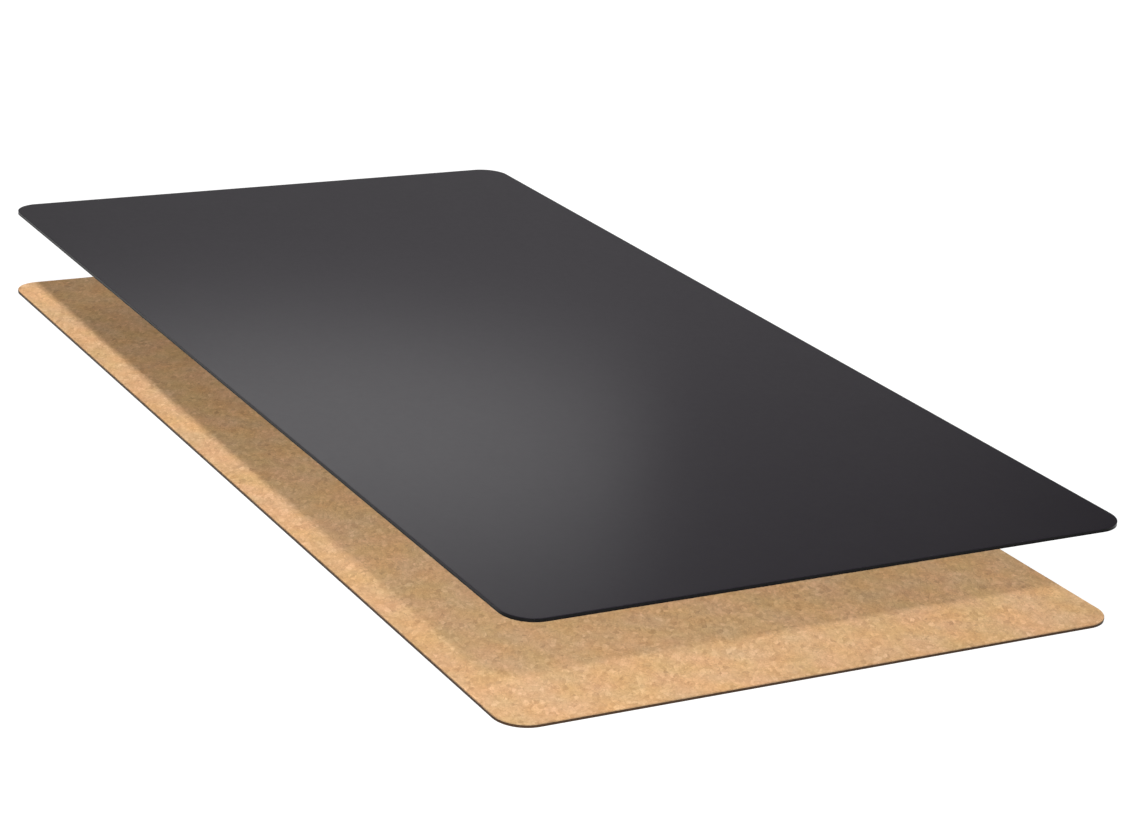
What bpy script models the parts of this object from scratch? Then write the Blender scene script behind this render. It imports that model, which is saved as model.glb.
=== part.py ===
"""Desk mat made of two loose sheets with the same outline.

The mat lies on the XY plane with its long edges along X, and its user sits on
the -Y side. The origin is the middle of the cork sheet's underside. The
leather sheet is drawn lifted straight up off the cork sheet, and it comes
down along Z until it lies on the cork. Lengths are in metres.
"""

import math

import bmesh
import bpy

# Outline, the same for both sheets
LENGTH = 0.700
WIDTH = 0.350
CORNER_RADIUS = 0.0165
CORNER_STEPS = 16

# Layers of the cork sheet, from the desk up
CORK_BASE_THICKNESS = 0.00125
CORK_FACE_THICKNESS = 0.00070

# Layers of the leather sheet, from its underside up
LEATHER_BACKING_THICKNESS = 0.00045
LEATHER_CORE_THICKNESS = 0.00100
LEATHER_FACE_THICKNESS = 0.00045

# The glue film between two bonded layers is left as a gap
GLUE_FILM = 0.00005

# Clear height between the cork and the leather sheet's underside
LIFT_CLEARANCE = 0.0506

# The faces that are touched have a softly rounded upper rim
RIM_RADIUS = 0.0003
RIM_STEPS = 3

CORK_SHEET_THICKNESS = CORK_BASE_THICKNESS + GLUE_FILM + CORK_FACE_THICKNESS
LEATHER_UNDERSIDE = CORK_SHEET_THICKNESS + LIFT_CLEARANCE

# Material settings: colour, roughness, metallic
MATERIALS = {
    "cork": ((0.62, 0.40, 0.21), 0.85, 0.0),
    "base_rubber": ((0.020, 0.018, 0.018), 0.80, 0.0),
    "pu_leather": ((0.050, 0.050, 0.052), 0.45, 0.0),
    "fibre_core": ((0.018, 0.017, 0.017), 0.90, 0.0),
    "suede": ((0.035, 0.034, 0.035), 0.95, 0.0),
}


def clear_scene():
    for obj in list(bpy.data.objects):
        bpy.data.objects.remove(obj, do_unlink=True)


def make_materials():
    made = {}
    for name, (colour, roughness, metallic) in MATERIALS.items():
        material = bpy.data.materials.new(name)
        material.use_nodes = True
        surface = material.node_tree.nodes["Principled BSDF"]
        surface.inputs["Base Color"].default_value = (*colour, 1.0)
        surface.inputs["Roughness"].default_value = roughness
        surface.inputs["Metallic"].default_value = metallic
        made[name] = material
    return made


def sheet_outline():
    """Corner points of the rounded rectangle, anticlockwise from above."""
    reach_x = LENGTH / 2 - CORNER_RADIUS
    reach_y = WIDTH / 2 - CORNER_RADIUS
    centres = [(reach_x, -reach_y), (reach_x, reach_y), (-reach_x, reach_y), (-reach_x, -reach_y)]
    points = []
    for quarter, (centre_x, centre_y) in enumerate(centres):
        for step in range(CORNER_STEPS + 1):
            angle = math.radians(90) * (quarter - 1 + step / CORNER_STEPS)
            x = centre_x + CORNER_RADIUS * math.cos(angle)
            y = centre_y + CORNER_RADIUS * math.sin(angle)
            points.append((x, y))
    return points


def round_upper_rim(bm, thickness):
    rim = [edge for edge in bm.edges if all(abs(v.co.z - thickness) < 1e-7 for v in edge.verts)]
    bmesh.ops.bevel(
        bm,
        geom=rim,
        offset=RIM_RADIUS,
        segments=RIM_STEPS,
        profile=0.5,
        affect="EDGES",
    )


def make_layer(name, bottom, thickness, material, rounded=False, parent=None):
    """One layer of a sheet: the outline extruded upwards from height bottom."""
    bm = bmesh.new()
    corners = [bm.verts.new((x, y, 0.0)) for x, y in sheet_outline()]
    underside = bm.faces.new(corners)
    raised = bmesh.ops.extrude_face_region(bm, geom=[underside])
    raised_corners = [item for item in raised["geom"] if isinstance(item, bmesh.types.BMVert)]
    bmesh.ops.translate(bm, verts=raised_corners, vec=(0.0, 0.0, thickness))
    if rounded:
        round_upper_rim(bm, thickness)
    bmesh.ops.recalc_face_normals(bm, faces=bm.faces[:])

    mesh = bpy.data.meshes.new(name)
    bm.to_mesh(mesh)
    bm.free()
    mesh.materials.append(material)
    mesh.shade_smooth()
    mesh.set_sharp_from_angle(angle=math.radians(30))

    layer = bpy.data.objects.new(name, mesh)
    bpy.context.scene.collection.objects.link(layer)
    layer.parent = parent
    layer.location.z = bottom
    return layer


def make_cork_sheet(materials):
    make_layer("cork_base", 0.0, CORK_BASE_THICKNESS, materials["base_rubber"])
    cork_bottom = CORK_BASE_THICKNESS + GLUE_FILM
    make_layer("cork_face", cork_bottom, CORK_FACE_THICKNESS, materials["cork"], rounded=True)


def make_leather_sheet(materials):
    """The layers hang from an empty on the axis along which the sheet lifts."""
    lift = bpy.data.objects.new("leather_sheet_lift", None)
    bpy.context.scene.collection.objects.link(lift)
    lift.empty_display_size = 0.05
    lift.location.z = LEATHER_UNDERSIDE

    layers = [
        ("leather_backing", LEATHER_BACKING_THICKNESS, "suede", False),
        ("leather_core", LEATHER_CORE_THICKNESS, "fibre_core", False),
        ("leather_face", LEATHER_FACE_THICKNESS, "pu_leather", True),
    ]
    bottom = 0.0
    for name, thickness, material, rounded in layers:
        make_layer(name, bottom, thickness, materials[material], rounded, parent=lift)
        bottom += thickness + GLUE_FILM


def main():
    clear_scene()
    materials = make_materials()
    make_cork_sheet(materials)
    make_leather_sheet(materials)


main()
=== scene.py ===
"""Looks of the desk mat: a black leather-look sheet held above a cork sheet.

Both sheets lie level with their long edges along X, and the user sits on the
-Y side. Lengths are in metres. Each packed layer is replaced by a finer mesh
of the same size, with its real surface: smooth leather, suede, a cut fibre
edge, pressed cork granules and a grained rubber base.
"""

import math

import bpy
import numpy as np
from mathutils import Matrix, Vector


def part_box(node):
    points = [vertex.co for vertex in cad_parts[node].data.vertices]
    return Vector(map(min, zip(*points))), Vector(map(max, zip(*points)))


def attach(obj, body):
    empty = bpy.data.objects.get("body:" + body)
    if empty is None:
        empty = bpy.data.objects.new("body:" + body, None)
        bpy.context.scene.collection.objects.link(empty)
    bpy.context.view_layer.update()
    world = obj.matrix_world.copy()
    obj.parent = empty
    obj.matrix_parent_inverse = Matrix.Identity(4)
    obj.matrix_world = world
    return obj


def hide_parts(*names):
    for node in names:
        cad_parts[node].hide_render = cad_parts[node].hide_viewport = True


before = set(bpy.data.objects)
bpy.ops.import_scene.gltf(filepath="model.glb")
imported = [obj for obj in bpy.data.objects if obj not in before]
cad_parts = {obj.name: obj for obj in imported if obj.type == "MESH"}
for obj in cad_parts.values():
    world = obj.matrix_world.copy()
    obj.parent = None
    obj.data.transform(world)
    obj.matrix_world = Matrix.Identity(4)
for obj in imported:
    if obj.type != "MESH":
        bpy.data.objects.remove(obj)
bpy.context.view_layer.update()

# Sheets
CORNER_RADIUS = 0.0165
CORNER_STEPS = 22
GLUE_FILM = 0.00005
CORK_SPACING = 0.0018
PLAIN_SPACING = 0.0050
SHARP_ANGLE = math.radians(40)

# Edges of the layers: insets from the outline, and heights from the layer's top or underside
BASE_ROUNDING = 0.00010
CORK_RIM = 0.00030
CORK_SHOULDER = 0.00010
CORK_SHOULDER_DROP = 0.00005
CORK_WALL_DROP = 0.00022
CORK_FOOT = 0.00010
CORK_WALL_RINGS = 4
BACKING_ROUNDING = 0.00012
CORE_LIP = 0.00050
CORE_SETBACK = 0.00010
LEATHER_LIP = 0.00080
LEATHER_RIM = 0.00022
LEATHER_RIM_ANGLES = (0, 22.5, 45, 67.5, 90)

# Cork granules, with smaller crumbs between them, in the cork's colour. They are drawn out along
# the camera's line of sight, because its low view would otherwise flatten them.
GRANULE_SIZE = 0.0024
CRUMB_SIZE = 0.0010
GRANULE_STRETCH = 1.50
GRANULE_ANGLE = math.radians(-30)
WOBBLE_SIZE = 0.0018
WOBBLE_REACH = 0.0012
SEAM_WIDTH = 0.06
SEAM_STRENGTH = 0.25
FLECK_STRENGTH = 0.20
CORK_BUMP = 0.00012
# Painted shade: the cork's cut wall is a darker copy of the top's cork colour
CUT_CORK_SHADE = 0.30

# Cork granules in the mesh
GRANULE_RELIEF = 0.00010
COARSE_LUMP = 0.0031
FINE_LUMP = 0.0019
CRUMBLE_DEPTH = 0.00014
CRUMBLE_SIZE = 0.0016

# Camera
CAMERA_LOCATION = (1.4085, -0.7622, 0.5870)
CAMERA_TARGET = (-0.0146, 0.0505, 0.0)
CAMERA_ROLL = math.radians(3.83)
CAMERA_LENS = 94.3

# Studio
FLOOR_SIZE = 60.0
FLOOR_DROP = 0.0002
FLOOR_COLOUR = (0.12, 0.12, 0.12, 1.0)
FLOOR_GLOW = 1.0
WHITE = (1.0, 1.0, 1.0, 1.0)
ROOM_LIGHT = 0.08
BACKDROP_WHITE = 1.0
SHEET_CENTRE = (0.0, 0.0, 0.0)

# Lights, with their powers in watts
KEY_LOCATION = (2.455, -0.876, 2.307)
KEY_TARGET = (-0.957, 0.436, 0.0)
KEY_POWER = 785.0
KEY_CONE = math.radians(30.15)
KEY_RADIUS = 0.15
FILL_LOCATION = (1.392, -0.916, 0.472)
FILL_POWER = 62.0
FILL_WIDTH = 0.2
FILL_COLOUR = (0.93, 0.975, 1.0)
BACK_LOCATION = (-1.25, 1.05, 0.75)
BACK_TARGET = (-0.22, 0.14, 0.0)
BACK_POWER = 95.0
BACK_CONE = math.radians(23)
BACK_RADIUS = 0.3
GLOSS_LOCATION = (-0.367, 0.029, 0.275)
GLOSS_TARGET = (0.080, -0.155, 0.055)
GLOSS_POWER = 0.180
GLOSS_SIZE = (0.526, 0.150)
WALL_LOCATION = (-2.177, 1.145, 0.396)
WALL_POWER = 1.64
WALL_SIZE = (1.89, 1.89)


# ---------------------------------------------------------------- sheet meshes


def value_noise(x, y, cell, seed):
    """Smooth random heights from 0 to 1 on a square lattice of the given cell size."""
    size = 1024
    lattice = np.random.default_rng(seed).random((size, size))
    u, v = x / cell, y / cell
    i, j = np.floor(u).astype(int), np.floor(v).astype(int)
    s, t = u - i, v - j
    s, t = s * s * (3 - 2 * s), t * t * (3 - 2 * t)
    i, j = i % size, j % size
    i_next, j_next = (i + 1) % size, (j + 1) % size
    low = lattice[i, j] * (1 - s) + lattice[i_next, j] * s
    high = lattice[i, j_next] * (1 - s) + lattice[i_next, j_next] * s
    return low * (1 - t) + high * t


class SheetPattern:
    """The layout of points that a layer is made on: a grid that fills the rounded rectangle,
    and the loop round its edge with the directions that point out of it."""

    def __init__(self, length, width, spacing):
        self.reach_x = length / 2 - CORNER_RADIUS
        self.reach_y = width / 2 - CORNER_RADIUS
        turn = np.linspace(0, math.pi / 2, CORNER_STEPS + 1)
        straight = np.linspace(-self.reach_x, self.reach_x, round(2 * self.reach_x / spacing) + 1)
        left, right = turn[:0:-1], turn[1:]
        left_x, right_x = np.full(len(left), -self.reach_x), np.full(len(right), self.reach_x)
        self.column_turn = np.concatenate([-left, np.zeros(len(straight)), right])
        self.column_x = np.concatenate([left_x, straight, right_x])
        self.row_part = np.linspace(-1, 1, round(width / spacing) + 1)
        self.columns, self.rows = len(self.column_x), len(self.row_part)
        self.edge_loop = self._edge_loop()
        self.edge_points, self.edge_normals = self._edge_frame()

    def grid(self, inset):
        """The grid's x and y, with its edge this far inside the outline."""
        radius = CORNER_RADIUS - inset
        x = self.column_x + radius * np.sin(self.column_turn)
        half_width = self.reach_y + radius * np.cos(self.column_turn)
        return np.repeat(x[:, None], self.rows, 1), half_width[:, None] * self.row_part[None, :]

    def grid_points(self, inset, height):
        x, y = self.grid(inset)
        return np.stack([x, y, np.broadcast_to(height, x.shape)], 2).reshape(-1, 3)

    def ring_points(self, inset, height):
        ring = self.edge_points - self.edge_normals * np.reshape(inset, (-1, 1))
        return np.column_stack([ring, np.full(len(ring), height)])

    def grid_faces(self):
        i, j = np.meshgrid(np.arange(self.columns - 1), np.arange(self.rows - 1), indexing="ij")
        corner = (i * self.rows + j).reshape(-1)
        return np.stack([corner, corner + self.rows, corner + self.rows + 1, corner + 1], 1)

    def _edge_loop(self):
        """Grid places (column, row) round the edge, anticlockwise from above."""
        last_column, last_row = self.columns - 1, self.rows - 1
        loop = [(i, 0) for i in range(last_column)]
        loop += [(last_column, j) for j in range(last_row)]
        loop += [(i, last_row) for i in range(last_column, 0, -1)]
        loop += [(0, j) for j in range(last_row, 0, -1)]
        return np.array(loop)

    def _edge_frame(self):
        """The outline's points in the loop's order, and the way out of the sheet at each."""
        i, j = self.edge_loop.T
        turn = self.column_turn[i]
        side = np.where(j == 0, -1.0, np.where(j == self.rows - 1, 1.0, 0.0))
        end = np.where(i == 0, -1.0, np.where(i == self.columns - 1, 1.0, 0.0))
        normal_x = np.where(side != 0, np.sin(turn), end)
        normal_y = side * np.cos(turn)
        x, y = self.grid(0.0)
        return np.stack([x[i, j], y[i, j]], 1), np.stack([normal_x, normal_y], 1)


def build_layer(name, pattern, profile, wall, top_relief=None, edge_relief=None, hidden_below=False):
    """One closed layer. profile lists (inset, height) from the top surface's edge, out and down
    the wall, to the underside's edge. The profile's steps from wall[0] up to wall[1] take the
    layer's second material. The reliefs are small moves of the surface's points. A hidden
    underside is one flat face, without a grid."""
    loop = pattern.edge_loop[:, 0] * pattern.rows + pattern.edge_loop[:, 1]
    size = len(loop)
    top_faces = pattern.grid_faces()

    top_inset, top_height = profile[0]
    if top_relief:
        top_height = top_height + top_relief(*pattern.grid(top_inset))
    blocks = [pattern.grid_points(top_inset, top_height)]
    rings = [loop]
    for inset, height in profile[1:-1]:
        crumbled = edge_relief(pattern.edge_points, height) if edge_relief else 0.0
        rings.append(sum(map(len, blocks)) + np.arange(size))
        blocks.append(pattern.ring_points(inset + crumbled * np.ones(size), height))

    low_start = sum(map(len, blocks))
    if hidden_below:
        blocks.append(pattern.ring_points(np.full(size, profile[-1][0]), profile[-1][1]))
        rings.append(low_start + np.arange(size))
        low_faces = [rings[-1][::-1].tolist()]
    else:
        blocks.append(pattern.grid_points(*profile[-1]))
        rings.append(low_start + loop)
        low_faces = (top_faces[:, ::-1] + low_start).tolist()

    faces = top_faces.tolist() + low_faces
    kinds = [0] * len(faces)
    for step, (above, below) in enumerate(zip(rings, rings[1:])):
        faces += np.stack([above, below, np.roll(below, -1), np.roll(above, -1)], 1).tolist()
        kinds += [int(wall[0] <= step < wall[1])] * size

    mesh = bpy.data.meshes.new(name)
    mesh.from_pydata(np.concatenate(blocks).tolist(), [], faces)
    mesh.polygons.foreach_set("material_index", kinds)
    mesh.shade_smooth()
    mesh.set_sharp_from_angle(angle=SHARP_ANGLE)
    layer = bpy.data.objects.new(name, mesh)
    bpy.context.scene.collection.objects.link(layer)
    return layer


def square_edge(low, high, rounding):
    """A profile with a straight-cut wall whose two corners are barely rounded."""
    return [(rounding, high), (0.0, high - rounding), (0.0, low + rounding), (rounding, low)]


# ---------------------------------------------------------------- materials


class Surface:
    """A node material round one Principled BSDF."""

    def __init__(self, name, **constants):
        self.material = bpy.data.materials.new(name)
        self.material.use_nodes = True
        self.tree = self.material.node_tree
        self.shader = self.tree.nodes["Principled BSDF"]
        for socket, value in constants.items():
            self.shader.inputs[socket.replace("_", " ")].default_value = value
        self.place = self.add("ShaderNodeTexCoord").outputs["Object"]

    def add(self, kind, inputs=None, **settings):
        node = self.tree.nodes.new(kind)
        for key, value in settings.items():
            setattr(node, key, value)
        for key, value in (inputs or {}).items():
            self.feed(node.inputs[key], value)
        return node

    def feed(self, socket, value):
        if isinstance(value, bpy.types.NodeSocket):
            self.tree.links.new(value, socket)
        else:
            socket.default_value = value

    def stretched(self, x, y, z):
        """The place on the object with each axis scaled, to draw a pattern out along one."""
        inputs = {"Vector": self.place, "Scale": (x, y, z)}
        return self.add("ShaderNodeMapping", inputs).outputs["Vector"]

    def drawn_out(self, stretch, angle):
        """The place on the object, for a pattern drawn out in the direction at this angle from X."""
        inputs = {"Vector": self.place, "Rotation": (0.0, 0.0, angle), "Scale": (stretch, 1.0, 1.0)}
        return self.add("ShaderNodeMapping", inputs, vector_type="TEXTURE").outputs["Vector"]

    def noise(self, size, detail=2.0, vector=None, output="Fac"):
        inputs = {"Vector": vector or self.place, "Scale": 1 / size, "Detail": detail}
        return self.add("ShaderNodeTexNoise", inputs).outputs[output]

    def cells(self, size, output="Distance", feature="F1", vector=None):
        inputs = {"Vector": vector or self.place, "Scale": 1 / size}
        return self.add("ShaderNodeTexVoronoi", inputs, feature=feature).outputs[output]

    def cell_values(self, size, vector=None):
        """Three random values for each cell."""
        colour = self.cells(size, "Color", vector=vector)
        return self.add("ShaderNodeSeparateColor", {"Color": colour}).outputs

    def wobbled(self, size, amount, place=None):
        """The place moved about by a noise, so that cells lose their straight sides."""
        place = place or self.place
        wobble = self.noise(size, vector=place, output="Color")
        centred = self.vector_math("SUBTRACT", {0: wobble, 1: (0.5, 0.5, 0.5)})
        scaled = self.vector_math("SCALE", {0: centred, "Scale": amount})
        return self.vector_math("ADD", {0: place, 1: scaled})

    def vector_math(self, operation, inputs):
        return self.add("ShaderNodeVectorMath", inputs, operation=operation).outputs[0]

    def math(self, operation, a, b=0.0):
        return self.add("ShaderNodeMath", {0: a, 1: b}, operation=operation).outputs[0]

    def spread(self, value, low, high, to_low=0.0, to_high=1.0):
        """The value moved from the range low..high to the range to_low..to_high, and held there."""
        ranges = {"From Min": low, "From Max": high, "To Min": to_low, "To Max": to_high}
        return self.add("ShaderNodeMapRange", {"Value": value, **ranges}).outputs["Result"]

    def ramp(self, value, stops):
        node = self.add("ShaderNodeValToRGB", {"Fac": value})
        elements = node.color_ramp.elements
        while len(elements) < len(stops):
            elements.new(0.5)
        for element, (position, colour) in zip(elements, stops):
            element.position = position
            element.color = (*colour, 1.0)
        return node.outputs["Color"]

    def mix(self, factor, a, b, blend="MIX"):
        node = self.add("ShaderNodeMix", data_type="RGBA", blend_type=blend, clamp_factor=True)
        self.feed(node.inputs[0], factor)
        self.feed(node.inputs[6], a if isinstance(a, bpy.types.NodeSocket) else (*a, 1.0))
        self.feed(node.inputs[7], b if isinstance(b, bpy.types.NodeSocket) else (*b, 1.0))
        return node.outputs[2]

    def bump(self, height, depth):
        return self.add("ShaderNodeBump", {"Height": height, "Distance": depth}).outputs["Normal"]

    def finish(self, **sockets):
        for socket, value in sockets.items():
            self.feed(self.shader.inputs[socket.replace("_", " ")], value)
        return self.material


# A ramp is a list of (position, colour). This one colours single granules and crumbs, most of
# them near its middle.
CORK_TONES = [
    (0.00, (0.475, 0.276, 0.138)),
    (0.10, (0.560, 0.334, 0.168)),
    (0.35, (0.612, 0.370, 0.190)),
    (0.62, (0.658, 0.406, 0.212)),
    (0.85, (0.712, 0.448, 0.242)),
    (1.00, (0.800, 0.520, 0.294)),
]
CORK_SEAM = (0.42, 0.24, 0.11)
CORK_FLECK = (0.200, 0.100, 0.050)
CORK_CAST = (1.00, 0.96, 0.92)

# Slow changes of the cork's hue: noise size, and the tint at its low and its high end
CORK_DRIFTS = [
    (0.0200, (0.970, 1.012, 1.020), (1.032, 0.988, 0.980)),
    (0.0220, (1.005, 1.010, 1.080), (0.995, 0.990, 0.920)),
    (0.0600, (0.970, 0.980, 0.970), (1.020, 1.015, 1.025)),
]

# Dark and light of the other materials' mottling
RUBBER_BLACK = [(0.3, (0.010, 0.009, 0.009)), (0.7, (0.018, 0.016, 0.016))]
BLACK_DYE = [(0.3, (0.0015, 0.0015, 0.0015)), (0.7, (0.0030, 0.0028, 0.0028))]
BROWN_DYE = [(0.3, (0.0180, 0.0095, 0.0050)), (0.7, (0.0320, 0.0175, 0.0095))]
LEATHER_BLACK = [(0.3, (0.0104, 0.0078, 0.0116)), (0.7, (0.0114, 0.0088, 0.0126))]
FIBRE_BLACK = [(0.3, (0.006, 0.006, 0.006)), (0.7, (0.020, 0.018, 0.018))]
SUEDE_GREY = [(0.35, (0.016, 0.015, 0.016)), (0.65, (0.034, 0.033, 0.034))]


def cork_material(name, shade):
    """Pressed cork granules, drawn out at GRANULE_ANGLE from the sheet's length.
    shade darkens the colour all over: painted shade, which makes the cut edge a darker copy of the
    cork."""
    s = Surface(name, Specular_IOR_Level=0.25)
    warped = s.wobbled(WOBBLE_SIZE, WOBBLE_REACH, s.drawn_out(GRANULE_STRETCH, GRANULE_ANGLE))
    granule = s.cell_values(GRANULE_SIZE, warped)
    crumb = s.cell_values(CRUMB_SIZE, warped)
    colour = s.mix(0.45, s.ramp(granule[0], CORK_TONES), s.ramp(crumb[0], CORK_TONES))
    to_seam = s.cells(GRANULE_SIZE, feature="DISTANCE_TO_EDGE", vector=warped)
    seam = s.spread(to_seam, 0.0, SEAM_WIDTH, SEAM_STRENGTH, 0.0)
    colour = s.mix(seam, colour, CORK_SEAM)
    fleck = s.math("MULTIPLY", s.spread(granule[1], 0.965, 0.975), FLECK_STRENGTH)
    colour = s.mix(fleck, colour, CORK_FLECK)
    for size, low, high in CORK_DRIFTS:
        drift = s.ramp(s.noise(size, 1.0), [(0.33, low), (0.67, high)])
        colour = s.mix(1.0, colour, drift, "MULTIPLY")
    # The warm cast, times shade: painted shade on the cut edge's copy, none on the face
    colour = s.mix(1.0, colour, tuple(shade * part for part in CORK_CAST), "MULTIPLY")
    lumps = s.math("ADD", s.math("MULTIPLY", granule[2], 0.5), s.math("MULTIPLY", crumb[2], 0.3))
    height = s.math("SUBTRACT", lumps, s.math("MULTIPLY", seam, 0.8))
    roughness = s.spread(crumb[1], 0.0, 1.0, 0.72, 0.92)
    return s.finish(Base_Color=colour, Roughness=roughness, Normal=s.bump(height, CORK_BUMP))


def rubber_material():
    """Black rubber with a fine pebbled grain against slipping."""
    s = Surface("grained_rubber", Specular_IOR_Level=0.3)
    mottle = s.ramp(s.noise(0.006, 4.0), RUBBER_BLACK)
    roughness = s.spread(s.noise(0.004), 0.3, 0.7, 0.70, 0.85)
    return s.finish(Base_Color=mottle, Roughness=roughness, Normal=s.bump(s.cells(0.0009), 0.0001))


def edge_material(name, dye=BLACK_DYE):
    """A dyed cut edge: fine fibres that run along it, with a faint shine."""
    s = Surface(name, Specular_IOR_Level=0.06)
    strands = s.noise(0.0006, 4.0, vector=s.stretched(0.25, 0.25, 1.0))
    colour = s.ramp(strands, dye)
    roughness = s.spread(strands, 0.3, 0.7, 0.14, 0.20)
    return s.finish(Base_Color=colour, Roughness=roughness, Normal=s.bump(strands, 0.00001))


def leather_material():
    """Satin black leather with an even, barely raised grain."""
    s = Surface("smooth_black_leather", Specular_IOR_Level=0.5)
    grain_place = s.wobbled(0.0020, 0.0008)
    pebble = s.cells(0.00075, feature="SMOOTH_F1", vector=grain_place)
    mottle = s.ramp(s.noise(0.030, 4.0), LEATHER_BLACK)
    roughness = s.spread(s.noise(0.004, 4.0), 0.3, 0.7, 0.31, 0.33)
    return s.finish(Base_Color=mottle, Roughness=roughness, Normal=s.bump(pebble, 0.00001))


def fibre_material():
    """Matt black fibre board."""
    s = Surface("fibre_board", Specular_IOR_Level=0.2)
    strands = s.noise(0.0012, 4.0)
    colour = s.ramp(strands, FIBRE_BLACK)
    roughness = s.spread(strands, 0.3, 0.7, 0.85, 0.95)
    return s.finish(Base_Color=colour, Roughness=roughness, Normal=s.bump(strands, 0.00015))


def suede_material():
    """Dark grey suede: a short nap, stroked this way and that."""
    s = Surface("napped_suede", Specular_IOR_Level=0.15, Sheen_Weight=0.25, Sheen_Roughness=0.5)
    nap = s.noise(0.0011, 4.0)
    stroke = s.noise(0.035, 3.0)
    lie = s.math("ADD", s.math("MULTIPLY", nap, 0.5), s.math("MULTIPLY", stroke, 0.5))
    colour = s.ramp(lie, SUEDE_GREY)
    roughness = s.spread(nap, 0.3, 0.7, 0.88, 0.98)
    return s.finish(Base_Color=colour, Roughness=roughness, Normal=s.bump(nap, 0.0002))


# ---------------------------------------------------------------- pieces


def height_range(node):
    low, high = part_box(node)
    return low[2], high[2]


def add_piece(layer, node, body, face_material, wall_material):
    layer.data.materials.append(face_material)
    layer.data.materials.append(wall_material)
    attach(layer, body)
    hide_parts(node)


def granule_relief(x, y):
    """The dips between granules, down from the sheet's flat top."""
    along = (x * math.cos(GRANULE_ANGLE) + y * math.sin(GRANULE_ANGLE)) / GRANULE_STRETCH
    across = y * math.cos(GRANULE_ANGLE) - x * math.sin(GRANULE_ANGLE)
    coarse = value_noise(along, across, COARSE_LUMP, 11)
    fine = value_noise(along, across, FINE_LUMP, 12)
    return -GRANULE_RELIEF * (0.6 * coarse + 0.4 * fine)


def crumbled_edge(points, height):
    """How far the cut edge has crumbled away, which changes from granule to granule, both along
    the long and the short edges of the sheet and from ring to ring up the wall."""
    along = points[:, 0] + points[:, 1] * 1.7
    level = np.full_like(along, height * 2.0)
    return CRUMBLE_DEPTH * value_noise(along, level, CRUMBLE_SIZE, 13)


def cork_profile(low, high):
    """A worn upper rim, the cut wall and a narrow foot."""
    rim = [(CORK_RIM, high), (CORK_SHOULDER, high - CORK_SHOULDER_DROP)]
    heights = np.linspace(high - CORK_WALL_DROP, low + CORK_FOOT, CORK_WALL_RINGS)
    return rim + [(0.0, z) for z in heights] + [(CORK_RIM, low)]


def leather_profile(low, high):
    """A rim rolled through a quarter turn, and a wall that ends on the core."""
    turns = [math.radians(angle) for angle in LEATHER_RIM_ANGLES]
    rolled = [(LEATHER_RIM * (1 - math.sin(a)), high - LEATHER_RIM * (1 - math.cos(a))) for a in turns]
    return [(LEATHER_LIP, high)] + rolled + [(CORE_SETBACK, low)]


def make_cork_sheet(fine, plain):
    low, high = height_range("cork_base")
    base = build_layer("cork_sheet_base", plain, square_edge(low, high, BASE_ROUNDING), wall=(0, 3))
    rubber_edge = edge_material("rubber_edge", BROWN_DYE)
    add_piece(base, "cork_base", "cork_sheet", rubber_material(), rubber_edge)

    low, high = height_range("cork_face")
    face = build_layer("cork_sheet_face", fine, cork_profile(low - GLUE_FILM, high), wall=(1, 6),
                       top_relief=granule_relief, edge_relief=crumbled_edge, hidden_below=True)
    granules = cork_material("cork_granules", 1.0)
    # The cut wall gets the cork colour darkened by painted shade
    shaded_cut_cork = cork_material("shaded_cut_cork", CUT_CORK_SHADE)
    add_piece(face, "cork_face", "cork_sheet", granules, shaded_cut_cork)


def make_leather_sheet(plain):
    low, high = height_range("leather_backing")
    profile = square_edge(low, high + GLUE_FILM, BACKING_ROUNDING)
    backing = build_layer("leather_sheet_backing", plain, profile, wall=(0, 3))
    suede_edge = edge_material("suede_edge")
    add_piece(backing, "leather_backing", "leather_sheet", suede_material(), suede_edge)

    low, high = height_range("leather_core")
    high += GLUE_FILM
    profile = [(CORE_LIP, high), (CORE_SETBACK, high), (CORE_SETBACK, low), (CORE_LIP, low)]
    core = build_layer("leather_sheet_core", plain, profile, wall=(1, 2))
    core_edge = edge_material("core_edge")
    add_piece(core, "leather_core", "leather_sheet", fibre_material(), core_edge)

    low, high = height_range("leather_face")
    face = build_layer("leather_sheet_face", plain, leather_profile(low, high), wall=(4, 6))
    painted_edge = edge_material("painted_edge")
    add_piece(face, "leather_face", "leather_sheet", leather_material(), painted_edge)


# ---------------------------------------------------------------- studio


def aim(obj, target, roll=0.0):
    gaze = Vector(target) - obj.location
    turned = gaze.to_track_quat("-Z", "Y").to_matrix() @ Matrix.Rotation(roll, 3, "Z")
    obj.rotation_euler = turned.to_euler()


def add_camera():
    data = bpy.data.cameras.new("camera")
    data.lens = CAMERA_LENS
    data.clip_start, data.clip_end = 0.01, 200.0
    camera = bpy.data.objects.new("camera", data)
    bpy.context.scene.collection.objects.link(camera)
    camera.location = CAMERA_LOCATION
    aim(camera, CAMERA_TARGET, CAMERA_ROLL)
    bpy.context.scene.camera = camera


def add_light(name, kind, location, target, power, **settings):
    data = bpy.data.lights.new(name, kind)
    data.energy = power
    for key, value in settings.items():
        setattr(data, key, value)
    light = bpy.data.objects.new(name, data)
    bpy.context.scene.collection.objects.link(light)
    light.location = location
    aim(light, target)
    light.visible_camera = False
    return light


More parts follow.
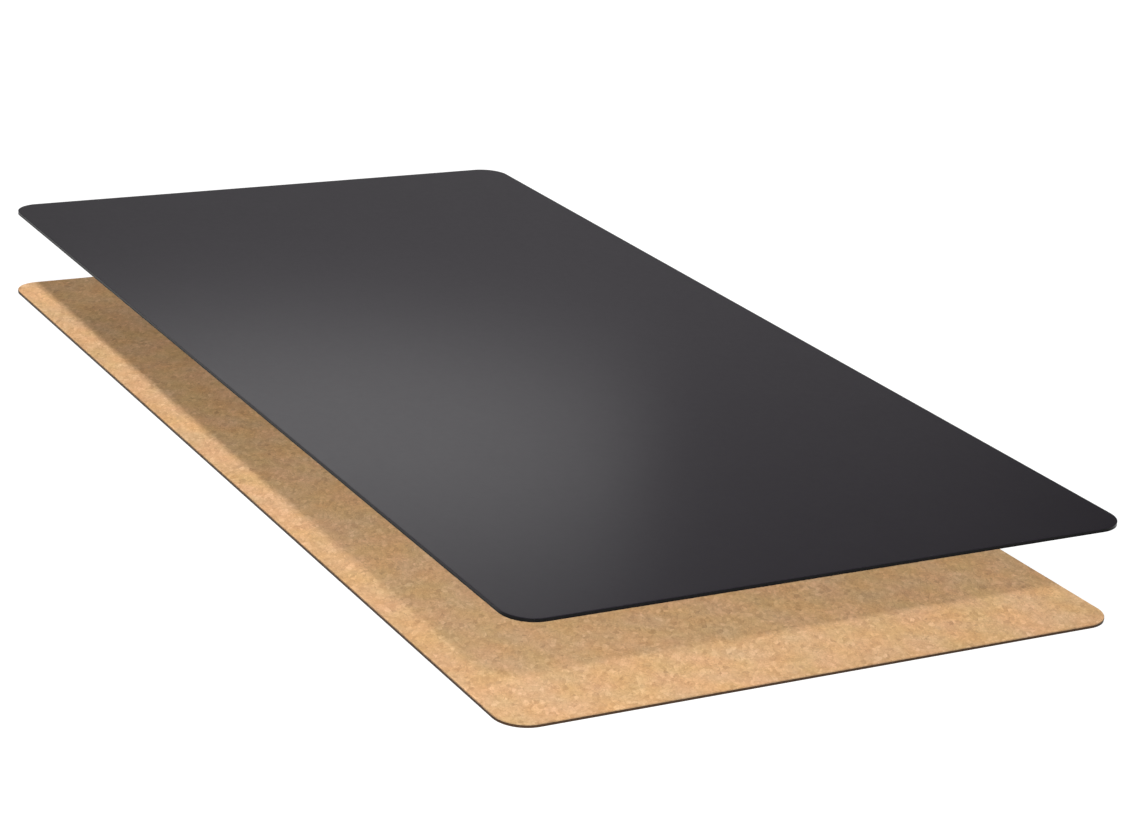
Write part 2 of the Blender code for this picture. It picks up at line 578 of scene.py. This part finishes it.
def add_floor():
    half = FLOOR_SIZE / 2
    corners = [(x * half, y * half, -FLOOR_DROP) for x, y in ((-1, -1), (1, -1), (1, 1), (-1, 1))]
    mesh = bpy.data.meshes.new("studio_floor")
    mesh.from_pydata(corners, [], [(0, 1, 2, 3)])
    floor = bpy.data.objects.new("studio_floor", mesh)
    bpy.context.scene.collection.objects.link(floor)
    s = Surface("pale_floor", Roughness=0.9, Specular_IOR_Level=0.0, Base_Color=FLOOR_COLOUR,
                Emission_Color=WHITE, Emission_Strength=FLOOR_GLOW)
    mesh.materials.append(s.material)


def add_world():
    """A dim room, with a white backdrop where the camera looks past the floor."""
    world = bpy.data.worlds.new("studio")
    bpy.context.scene.world = world
    world.use_nodes = True
    nodes, links = world.node_tree.nodes, world.node_tree.links
    background = nodes["Background"]
    seen = nodes.new("ShaderNodeLightPath")
    strength = nodes.new("ShaderNodeMapRange")
    strength.inputs["To Min"].default_value = ROOM_LIGHT
    strength.inputs["To Max"].default_value = BACKDROP_WHITE
    links.new(seen.outputs["Is Camera Ray"], strength.inputs["Value"])
    links.new(strength.outputs["Result"], background.inputs["Strength"])
    background.inputs["Color"].default_value = WHITE


def add_gloss_light(name, location, target, power, size):
    """A soft panel that shows only as a reflection in the leather."""
    width, height = size
    light = add_light(name, "AREA", location, target, power, shape="ELLIPSE", size=width, size_y=height)
    light.visible_diffuse = False


def add_studio():
    add_floor()
    add_world()
    add_light("key", "SPOT", KEY_LOCATION, KEY_TARGET, KEY_POWER,
              shadow_soft_size=KEY_RADIUS, spot_size=KEY_CONE, spot_blend=1.0)
    fill = add_light("fill", "AREA", FILL_LOCATION, SHEET_CENTRE, FILL_POWER,
                     shape="DISK", size=FILL_WIDTH, color=FILL_COLOUR)
    back = add_light("back", "SPOT", BACK_LOCATION, BACK_TARGET, BACK_POWER,
                     shadow_soft_size=BACK_RADIUS, spot_size=BACK_CONE, spot_blend=1.0)
    for light in (fill, back):
        light.visible_glossy = False
    add_gloss_light("gloss", GLOSS_LOCATION, GLOSS_TARGET, GLOSS_POWER, GLOSS_SIZE)
    add_gloss_light("bright_wall", WALL_LOCATION, SHEET_CENTRE, WALL_POWER, WALL_SIZE)


def main():
    add_camera()
    add_studio()
    low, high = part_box("cork_face")
    length, width = high[0] - low[0], high[1] - low[1]
    plain = SheetPattern(length, width, PLAIN_SPACING)
    make_cork_sheet(SheetPattern(length, width, CORK_SPACING), plain)
    make_leather_sheet(plain)
    bpy.context.scene.view_settings.view_transform = "Standard"


main()
